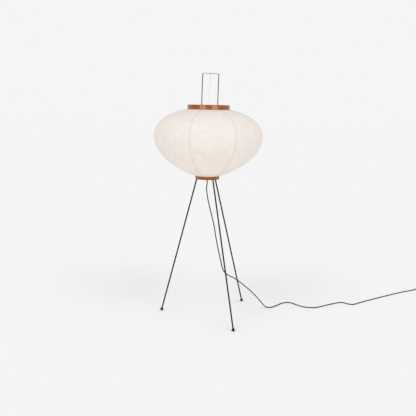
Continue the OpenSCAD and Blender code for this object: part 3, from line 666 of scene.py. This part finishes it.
BUTTON_TOP, BUTTON_R = 0.021, 0.008
FLANGE_Z, FLANGE_T, FLANGE_W = 0.0133, 0.0015, 0.0016
BUTTON_STEM_R, BUTTON_STEM_L = 0.0025, 0.006
BUTTON_GROOVES = (0.0058, 0.0040)


def button_shape():
    """The round push button: a dished top with two grooves, its flange and its stem."""
    top, r = BUTTON_TOP, BUTTON_R
    outline = [(0.0, FLANGE_Z - BUTTON_STEM_L), (BUTTON_STEM_R, FLANGE_Z - BUTTON_STEM_L),
               (BUTTON_STEM_R, FLANGE_Z), (r + FLANGE_W, FLANGE_Z),
               (r + FLANGE_W, FLANGE_Z + FLANGE_T), (r, FLANGE_Z + FLANGE_T),
               (r, top - 0.0009), (r - 0.0003, top - 0.0003), (r - 0.001, top)]
    for k in BUTTON_GROOVES:
        outline += [(k + 0.0004, top - 0.0001), (k + 0.0002, top - 0.0005),
                    (k - 0.0002, top - 0.0005), (k - 0.0004, top - 0.0002)]
    outline.append((0.0, top - 0.0006))
    return turned(outline, sides=64)


SWITCH_X = GRIP_L + SWITCH_L / 2
piece("push_button", *moved(button_shape(), AWAY @ Matrix.Translation((SWITCH_X, 0, 0))),
      BLACK_PLASTIC, body="foot_button", slot="black_plastic", replaces=["switch_button"])
for name, material, width in (
        ("switch_base", BLACK_PLASTIC, 0.0008), ("switch_cover", BLACK_PLASTIC, 0.0014),
        ("switch_block", SWITCH_PLASTIC, 0.0002), ("switch_screws", ZINC, 0.0002),
        ("plug_body", BLACK_PLASTIC, 0.0016), ("plug_pins", BRASS, 0.0006),
        ("coil_tie", SOFT_BLACK, 0.0002)):
    dress(name, material, width)

# ---------------------------------------------------------------- the shade's outline, as in CAD
SHADE_R = 0.265
OUTLINE_STEPS = 500
LOWER_BOTTOM, LOWER_TOP = (c.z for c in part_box("lower_outer_hoop"))
UPPER_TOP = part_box("upper_outer_hoop")[1].z
OUTER_HOOP_T, INNER_HOOP_T, PAPER_T = 0.0022, 0.0016, 0.0005
LOWER_SLOT, UPPER_SLOT = 0.0007, 0.0011
LOWER_RIM_R, UPPER_RIM_R = (
    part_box(node)[1].x for node in ("lower_outer_hoop", "upper_outer_hoop"))
LOWER_SLOT_R = LOWER_RIM_R - OUTER_HOOP_T - LOWER_SLOT / 2
UPPER_SLOT_R = UPPER_RIM_R - OUTER_HOOP_T - UPPER_SLOT / 2
# Below and above the widest ring: the depth and the two powers of a superellipse, and its slot
LOWER = (0.206, (2.0, 1.5), LOWER_SLOT_R)
UPPER = (0.132, (2.0, 2.5), UPPER_SLOT_R)


def rise_to_slot(depth, power, slot_r):
    return depth * (1 - (slot_r / SHADE_R) ** power[1]) ** (1 / power[0])


EQUATOR_Z = LOWER_TOP + rise_to_slot(*LOWER)
UPPER_Z = EQUATOR_Z + rise_to_slot(*UPPER)
CROSS_Z = (UPPER_Z + UPPER_TOP) / 2


def half_outline(depth, power, slot_r, way):
    """Radii and heights from the widest ring to the slot of a rim."""
    end_r = slot_r + PAPER_T / 2
    last = acos((end_r / SHADE_R) ** (power[1] / 2))
    a = np.linspace(0, last, OUTLINE_STEPS)
    return np.stack([SHADE_R * np.cos(a) ** (2 / power[1]),
                     EQUATOR_Z + way * depth * np.sin(a) ** (2 / power[0])], axis=1)


outline = np.concatenate([half_outline(*LOWER, -1)[::-1], half_outline(*UPPER, 1)[1:]])
along = np.concatenate([[0], np.cumsum(np.linalg.norm(np.diff(outline, axis=0), axis=1))])
PAPER_LEN = float(along[-1])
ABOUT_RIB_PITCH = 0.0105
TURNS = round(PAPER_LEN / ABOUT_RIB_PITCH) - 1
RIB_PITCH = PAPER_LEN / (TURNS + 1)
SLOPE_STEP = 0.002


def on_outline(s, inset):
    """Radius and height at length s along the outline, and that far inside it."""
    s = np.clip(s, 0, PAPER_LEN)

    def at(where):
        return np.interp(where, along, outline[:, 0]), np.interp(where, along, outline[:, 1])

    (r, z), (r1, z1), (r0, z0) = at(s), at(s + SLOPE_STEP), at(s - SLOPE_STEP)
    norm = np.maximum(np.hypot(r1 - r0, z1 - z0), 1e-9)
    return r - inset * (z1 - z0) / norm, z + inset * (r1 - r0) / norm


# ---------------------------------------------------------------- paper shade
# Columns round the shade, and rows from one turn of the rib to the next
COLS, ROWS = 224, 6
SAG = 0.0008
NO_RIB = 1.0


def paper_shape():
    """One skin, drawn in a little between the turns of the rib, which start and end at a rim.

    Gives each point's length along the outline, angle, sag and distance to the rib, then the
    faces and the points along the lower and the upper edge. The first and the last turn leave a
    wedge between the rib and a rim, which gets points of its own.
    """
    s_list, a_list, sag_list, rib_list, index = [], [], [], [], {}

    def vertex(key, s, theta, v, height, top_rib=True, low_rib=True):
        index[key] = len(s_list)
        s_list.append(s)
        a_list.append(theta)
        sag_list.append(SAG * 4 * v * (1 - v) * (height / RIB_PITCH) ** 2)
        rib_list.append(min(v * height if low_rib else NO_RIB,
                            (1 - v) * height if top_rib else NO_RIB))

    def strip(t, j, r):
        """The point at turn t, column j and row r, carried to the next turn at their ends."""
        if r == ROWS:
            t, r = t + 1, 0
        if j == COLS:
            t, j = t + 1, 0
        return index[("strip", t, j, r)]

    for t in range(TURNS + 2):
        for j in range(COLS if t <= TURNS else 1):
            for r in range(ROWS if t < TURNS or (t == TURNS and j == 0) else 1):
                s = RIB_PITCH * (t + j / COLS + r / ROWS)
                vertex(("strip", t, j, r), s, 2 * pi * j / COLS, r / ROWS, RIB_PITCH)
    for j in range(1, COLS):
        theta = 2 * pi * j / COLS
        h = RIB_PITCH * j / COLS
        for r in range(ROWS):
            vertex(("low", j, r), h * r / ROWS, theta, r / ROWS, h, low_rib=False)
        h = RIB_PITCH * (1 - j / COLS)
        for r in range(1, ROWS + 1):
            s = RIB_PITCH * (TURNS + j / COLS) + h * r / ROWS
            vertex(("high", j, r), s, theta, r / ROWS, h, top_rib=False)

    def low(j, r):
        if j == 0 or (j == COLS and r == 0):
            return strip(0, 0, 0)
        if j == COLS:
            return strip(0, 0, r)
        return strip(0, j, 0) if r == ROWS else index[("low", j, r)]

    def high(j, r):
        if j == COLS or (j == 0 and r == ROWS):
            return strip(TURNS + 1, 0, 0)
        if j == 0:
            return strip(TURNS, 0, r)
        return strip(TURNS, j, 0) if r == 0 else index[("high", j, r)]

    faces = []
    for corner in (low, high):
        for j in range(COLS):
            for r in range(ROWS):
                face = [corner(j, r), corner(j + 1, r), corner(j + 1, r + 1), corner(j, r + 1)]
                face = [v for k, v in enumerate(face) if v != face[k - 1]]
                if len(set(face)) > 2:
                    faces.append(tuple(face))
    for t in range(TURNS):
        for j in range(COLS):
            faces += [(strip(t, j, r), strip(t, j + 1, r), strip(t, j + 1, r + 1),
                       strip(t, j, r + 1)) for r in range(ROWS)]
    low_ring = [low(j, 0) for j in range(COLS)]
    high_ring = [high(j, ROWS) for j in range(COLS)]
    return (np.array(s_list), np.array(a_list), np.array(sag_list), np.array(rib_list),
            faces, low_ring, high_ring)


s_at, a_at, sag_at, rib_at, skin_faces, low_ring, high_ring = paper_shape()

UNEVEN, UNEVEN_FADE = 0.0006, 0.05
# Waves round the shade, radians per metre along it, and share
UNEVEN_WAVES = ((2, 9, 0.5), (3, -14, 0.4), (5, 21, 0.3), (7, 6, 0.45), (11, -33, 0.2),
                (17, 47, 0.14))


def hand_made(s, a):
    """A slight unevenness of the shell, fading out at the rims."""
    fade = np.clip(np.minimum(s, PAPER_LEN - s) / UNEVEN_FADE, 0, 1)
    wave = 0
    for k, m, amount in UNEVEN_WAVES:
        wave = wave + amount * np.sin(k * a + m * s + k * 1.7)
    return UNEVEN * wave * fade


def shell_points(s, a, depth):
    r, z = on_outline(s, depth)
    return np.stack([r * np.cos(a), r * np.sin(a), z], axis=1)


# How far the paper lies inside the CAD's shell and how thick it is drawn
PAPER_INSET, SKIN_T = 0.0002, 0.0004
# How far its edges reach into the rims, and the air that they have there
TUCK, TUCK_AIR = 0.012, 0.00005
outer_depth = sag_at + PAPER_INSET - hand_made(s_at, a_at)
outer = shell_points(s_at, a_at, outer_depth)
inner = shell_points(s_at, a_at, outer_depth + SKIN_T)


def tuck_ring(ring, z, depth, slot_r):
    a = a_at[ring]
    r = slot_r + PAPER_T / 2 - TUCK_AIR - depth
    return np.stack([r * np.cos(a), r * np.sin(a), np.full(len(a), z)], axis=1)


def paper_mesh():
    """Both sides of the skin, and between them the edges tucked into the rims."""
    count = len(outer)
    tucks = [tuck_ring(ring, z, depth, slot_r)
             for ring, z, slot_r in ((low_ring, LOWER_TOP - TUCK, LOWER_SLOT_R),
                                     (high_ring, UPPER_Z + TUCK, UPPER_SLOT_R))
             for depth in (0, SKIN_T)]
    lo, li, ho, hi = (2 * count + i * COLS for i in range(4))
    faces = list(skin_faces) + [tuple(count + v for v in f[::-1]) for f in skin_faces]
    for j in range(COLS):
        k = (j + 1) % COLS
        faces += [
            (lo + j, lo + k, low_ring[k], low_ring[j]),
            (count + low_ring[j], count + low_ring[k], li + k, li + j),
            (lo + k, lo + j, li + j, li + k),
            (high_ring[j], high_ring[k], ho + k, ho + j),
            (hi + j, hi + k, count + high_ring[k], count + high_ring[j]),
            (ho + j, ho + k, hi + k, hi + j)]
    return np.concatenate([outer, inner, *tucks]), faces


shade = piece("paper_shade_skin", *paper_mesh(), PAPER, slot="paper", replaces=["paper_shade"])
near_rib = np.concatenate([rib_at, rib_at, np.full(4 * COLS, NO_RIB)])
attribute = shade.data.attributes.new("from_rib", "FLOAT", "POINT")
attribute.data.foreach_set("value", near_rib.astype(np.float32))

# The rib: one strip of split bamboo wound up the inside of the paper
RIB_R, RIB_AIR = 0.00055, 0.0001
RIB_STEPS = 72
rib_t = np.arange(0, TURNS * RIB_STEPS + 1) / RIB_STEPS
rib_s = RIB_PITCH * rib_t
rib_a = 2 * pi * rib_t
rib_depth = PAPER_INSET + SKIN_T + RIB_R + RIB_AIR - hand_made(rib_s, rib_a)
rib_path = shell_points(rib_s, rib_a, rib_depth)
rib = piece("bamboo_spiral", *tube(rib_path, RIB_R, sides=6), BAMBOO, slot="bamboo",
            replaces=["bamboo_rib"])
# The skin and the rib get meshes of their own
for soft in (shade, rib):
    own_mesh(soft)

# ---------------------------------------------------------------- wooden rims
HOOP_COLS = 240
HOOP_EDGE = 0.0006
# The pared end of the outer side lies a step lower and rises to the full thickness over the lap
LAP_STEP, LAP_L = 0.0005, 0.05
OUTSIDE_IN, INSIDE_OUT = 0.0002, 0.00005
# Slight waves of the bent wood: how many round the hoop, where they start and how high they are
HOOP_WAVES = ((3, 1.0, 0.00012), (8, 0.0, 0.00008))
RIM_AIR = 0.0003


def eased_section(in_r, out_r, low, high, edge, hold=0.00015):
    """A rectangle with round corners. Points held close beside each corner keep its sides flat."""
    section = []
    for cr, cz, first in ((out_r - edge, high - edge, 0), (in_r + edge, high - edge, 90),
                          (in_r + edge, low + edge, 180), (out_r - edge, low + edge, 270)):
        corner = [(cos(t), sin(t)) for t in (radians(first + 30 * k) for k in range(4))]
        arc = [(cr + edge * c, cz + edge * d) for c, d in corner]
        (c0, d0), (c3, d3) = corner[0], corner[-1]
        before = (arc[0][0] + hold * d0, arc[0][1] - hold * c0)
        after = (arc[-1][0] - hold * d3, arc[-1][1] + hold * c3)
        section += [before, *arc, after]
    return np.array(section)


def bent_hoop(in_r, out_r, low, high, joint):
    """A bent strip with eased edges; its outer end is pared down over a lap, from an angle on."""
    section = eased_section(in_r, out_r, low, high, min(HOOP_EDGE, (out_r - in_r) * 0.3))
    middle_r = (in_r + out_r) / 2
    points = []
    for j in range(HOOP_COLS):
        t = 2 * pi * j / HOOP_COLS
        since = (t - joint) % (2 * pi)
        step = -LAP_STEP * max(0.0, 1 - since * middle_r / LAP_L)
        wave = sum(amount * sin(k * t + start) for k, start, amount in HOOP_WAVES)
        shift = np.where(section[:, 0] > middle_r, step + wave - OUTSIDE_IN,
                         wave * 0.3 + INSIDE_OUT)
        rows = zip(section[:, 0] + shift, section[:, 1])
        points += [[r * cos(t), r * sin(t), z] for r, z in rows]
    return np.array(points), [f[::-1] for f in ring_faces(HOOP_COLS, len(section), closed=True)]


for rim, rim_r, slot, low, high, joint, body in (
        ("lower", LOWER_RIM_R, LOWER_SLOT, LOWER_BOTTOM, LOWER_TOP, 0.9, "lamp"),
        ("upper", UPPER_RIM_R, UPPER_SLOT, UPPER_Z + RIM_AIR, UPPER_TOP, 0.4, "upper_rim")):
    slot_in = rim_r - OUTER_HOOP_T - slot
    for side, node, in_r, out_r, turn in (
            ("outside", "outer", rim_r - OUTER_HOOP_T, rim_r, 0.0),
            ("inside", "inner", slot_in - INNER_HOOP_T, slot_in, 2.9)):
        piece(f"{rim}_rim_{side}", *bent_hoop(in_r, out_r, low, high, joint + turn), RIM_WOOD,
              body=body, slot="rim_wood", replaces=[f"{rim}_{node}_hoop"])

# ---------------------------------------------------------------- thread and its knots
WIRE_R, CROSS_WIRE_R = 0.002, 0.001
LEAN = radians(0.8)
BAR_X, _, BAR_Z = sum(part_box("bar_knot"), Vector()) / 2
THREAD_R, PLY_PITCH = 0.00045, 0.0028
KNOT_REACH, KNOT_AIR = 0.002, 0.0001
thread_low = np.array([0, 0, CROSS_Z + CROSS_WIRE_R + KNOT_AIR + KNOT_REACH])
thread_high = np.array([BAR_X, 0, BAR_Z - WIRE_R - KNOT_REACH])


def two_ply(start, end, radius, pitch):
    """Two strands laid round each other."""
    reach = np.linalg.norm(end - start)
    n = int(reach / pitch * 10)
    u = np.linspace(0, 1, n)[:, None]
    middle = start + (end - start) * u
    turn = 2 * pi * u[:, 0] * reach / pitch
    strands = []
    for phase in (0, pi):
        aside = np.stack([np.cos(turn + phase), np.sin(turn + phase), np.zeros(n)], axis=1)
        strands.append(tube(middle + aside * radius * 0.5, radius * 0.52, sides=6))
    return joined(strands)


thread = piece("hanging_thread", *two_ply(thread_low, thread_high, THREAD_R, PLY_PITCH), THREAD,
               body=None, slot="thread", replaces=["hanger_thread"])
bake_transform(thread)

WRAP_TURNS, WRAP_STEPS, WRAP_PITCH, WRAP_AIR = 3.2, 24, 0.00098, 0.00005
BEAD_R, BEAD_DROP = 0.00085, 0.00135


def wrapped_knot(wire_r):
    """Turns of thread round a wire that lies along X, with a small tight knot below it."""
    t = np.linspace(0, WRAP_TURNS, int(WRAP_TURNS * WRAP_STEPS))
    r = wire_r + THREAD_R + WRAP_AIR
    wraps = np.stack([(t - WRAP_TURNS / 2) * WRAP_PITCH, r * np.sin(2 * pi * t),
                      r * np.cos(2 * pi * t)], axis=1)
    k = np.linspace(0, 2 * pi, 40)
    knot = np.stack([BEAD_R * (np.sin(k) + 2 * np.sin(2 * k)) * 0.36,
                     BEAD_R * np.sin(3 * k) * 0.5,
                     BEAD_R * (np.cos(k) - 2 * np.cos(2 * k)) * 0.36], axis=1)
    knot[:, 2] -= wire_r + BEAD_DROP
    return joined([tube(wraps, THREAD_R, sides=8), tube(knot, THREAD_R * 0.9, sides=8)])


on_bar = Matrix.Translation((BAR_X, 0, BAR_Z)) @ Matrix.Rotation(LEAN, 4, "Y")
on_cross_wire = (Matrix.Translation((0, 0, CROSS_Z)) @ Matrix.Rotation(pi, 4, "X")
                 @ Matrix.Rotation(pi / 2, 4, "Z"))
piece("knot_on_bar", *moved(wrapped_knot(WIRE_R), on_bar), KNOT, slot="thread",
      replaces=["bar_knot"])
piece("knot_on_cross_wire", *moved(wrapped_knot(CROSS_WIRE_R), on_cross_wire), KNOT,
      body="upper_rim", slot="thread", replaces=["rim_knot"])

# ---------------------------------------------------------------- strain relief under the hub
NIPPLE_R, BORE_Z = 0.00505, 0.0192
RELIEF_TIP_R, RELIEF_ROOT_R = 0.0035, 0.0075
CONE_L, RELIEF_L = 0.0172, 0.025
RELIEF_RIBS, RELIEF_RIB_FIRST, RELIEF_RIB_PITCH = 5, 0.0018, 0.0026
RELIEF_GROOVE_D, RELIEF_EDGE = 0.0007, 0.0006


def relief_shape():
    """The ribbed relief, screwed on the threaded tube: thin below, with a bored collar above."""
    outline = [(0.0, 0.0), (RELIEF_TIP_R - 0.0004, 0.0), (RELIEF_TIP_R, 0.0004)]
    for i in range(RELIEF_RIBS):
        at = RELIEF_RIB_FIRST + RELIEF_RIB_PITCH * i
        r = RELIEF_TIP_R + (RELIEF_ROOT_R - RELIEF_TIP_R) * at / CONE_L
        outline += [(r, at), (r - RELIEF_GROOVE_D, at + 0.0004),
                    (r - RELIEF_GROOVE_D, at + 0.0012), (r + 0.0001, at + 0.0016)]
    outline += [(RELIEF_ROOT_R - 0.0002, CONE_L - RELIEF_EDGE), (RELIEF_ROOT_R, CONE_L),
                (RELIEF_ROOT_R, RELIEF_L - RELIEF_EDGE), (RELIEF_ROOT_R - RELIEF_EDGE, RELIEF_L),
                (NIPPLE_R, RELIEF_L), (NIPPLE_R, BORE_Z), (0.0, BORE_Z)]
    return turned(outline, sides=64)


piece("cord_relief", *moved(relief_shape(), Matrix.Translation((0, 0, RELIEF_Z))), SOFT_BLACK,
      slot="black_plastic", replaces=["strain_relief"])

# ---------------------------------------------------------------- CAD nodes that stay
for name in ("left_leg", "front_leg", "rear_leg"):
    dress(name, BLACK_STEEL)
for name in ("left_foot", "front_foot", "rear_foot"):
    dress(name, FOOT_RUBBER)
for name, material, width in (
        ("hub_plate", BLACK_STEEL, 0.0003), ("wire_frame", DARK_WIRE, 0.0),
        ("frame_nuts", ZINC, 0.0003), ("nipple", BRASS, 0.0002), ("nipple_nuts", ZINC, 0.0004),
        ("holder_cap", BLACK_PLASTIC, 0.0006), ("holder_shell", BLACK_PLASTIC, 0.0004),
        ("holder_insert", CERAMIC, 0.0003), ("holder_thread", BRASS, 0.0),
        ("holder_contact", BRASS, 0.0001), ("terminals", BRASS, 0.0003),
        ("holder_leads", LEADS, 0.0), ("bulb_glass", BULB_GLASS, 0.0),
        ("bulb_cap", BULB_CAP, 0.0002), ("bulb_contact", INSULATOR, 0.0003),
        ("cross_wire", BRIGHT_WIRE, 0.0002)):
    dress(name, material, width)

# ---------------------------------------------------------------- floor, world and lights
# The background's tone in the photo, as light
PALE = 245 / 255
PALE_LINEAR = ((PALE + 0.055) / 1.055) ** 2.4
FLOOR_REACH = 30.0
# The floor is shown a little paler than the tone that it throws back on the lamp
FLOOR_LIT, FLOOR_DARKER, FLOOR_PALER = (0.86,) * 3, (0.985,) * 3, (0.995,) * 3


def floor_plane():
    reach = FLOOR_REACH
    mesh = bpy.data.meshes.new("floor")
    mesh.from_pydata([(-reach, -reach, 0), (reach, -reach, 0), (reach, reach, 0),
                      (-reach, reach, 0)], [], [(0, 1, 2, 3)])
    p = Paint("floor", (0.9, 0.9, 0.9), 0.9, Specular_IOR_Level=0.0)
    grain = p.mix(p.ramp(p.noise(40.0, 3.0), 0.3, 0.7), FLOOR_DARKER, FLOOR_PALER)
    p.colour(p.mix(p.shown(), FLOOR_LIT, grain))
    mesh.materials.append(p.material)
    obj = in_scene("floor", mesh)
    return obj


# The soft boxes' light leaves this collection out
kept_even = bpy.data.collections.new("kept_even")
kept_even.objects.link(floor_plane())
kept_even.collection_objects[0].light_linking.link_state = "EXCLUDE"

# The world is shown as the photo's pale background and lights the lamp with a lower level
FILL = 0.69
world = bpy.data.worlds.new("world")
bpy.context.scene.world = world
world.use_nodes = True
sky = Tree(world.node_tree)
tone = sky.add("ShaderNodeMapRange", {
    "Value": sky.shown(), "To Min": FILL, "To Max": PALE_LINEAR})
sky.links.new(tone.outputs[0], sky.nodes["Background"].inputs["Color"])

SUN_ELEVATION, SUN_STRENGTH, SUN_SOFTNESS = radians(52), 0.46, radians(35)
BOX_POWER, BOX_SIZE, BOX_COLOUR = 76, (4.0, 1.2), (0.88, 0.965, 1.0)
BOX_AWAY, BOX_Z, BOX_AIM_Z = 7, 1.1, 0.95


def sun(name, azimuth):
    """A far soft light from an azimuth, counted from the camera's side to its right."""
    data = bpy.data.lights.new(name, "SUN")
    data.energy, data.angle = SUN_STRENGTH, SUN_SOFTNESS
    obj = in_scene(name, data)
    a, e = radians(azimuth), SUN_ELEVATION
    towards = Vector((sin(a) * cos(e), -cos(a) * cos(e), sin(e)))
    obj.rotation_euler = towards.to_track_quat("Z", "Y").to_euler()


def strip_light(name, azimuth):
    """A soft box well behind the camera, for the highlights on the rims. The floor stays even."""
    data = bpy.data.lights.new(name, "AREA")
    data.shape, data.energy, data.color = "RECTANGLE", BOX_POWER, BOX_COLOUR
    data.size, data.size_y = BOX_SIZE
    obj = in_scene(name, data)
    a = radians(azimuth)
    obj.location = Vector((BOX_AWAY * sin(a), -BOX_AWAY * cos(a), BOX_Z))
    obj.visible_camera = False
    obj.light_linking.receiver_collection = kept_even
    aim = Vector((0, 0, BOX_AIM_Z)) - obj.location
    obj.rotation_euler = aim.to_track_quat("-Z", "Y").to_euler()


sun("left_sun", azimuth=-40)
sun("right_sun", azimuth=40)
strip_light("left_box", azimuth=-31)
strip_light("right_box", azimuth=34)
bpy.context.scene.view_settings.view_transform = "Standard"
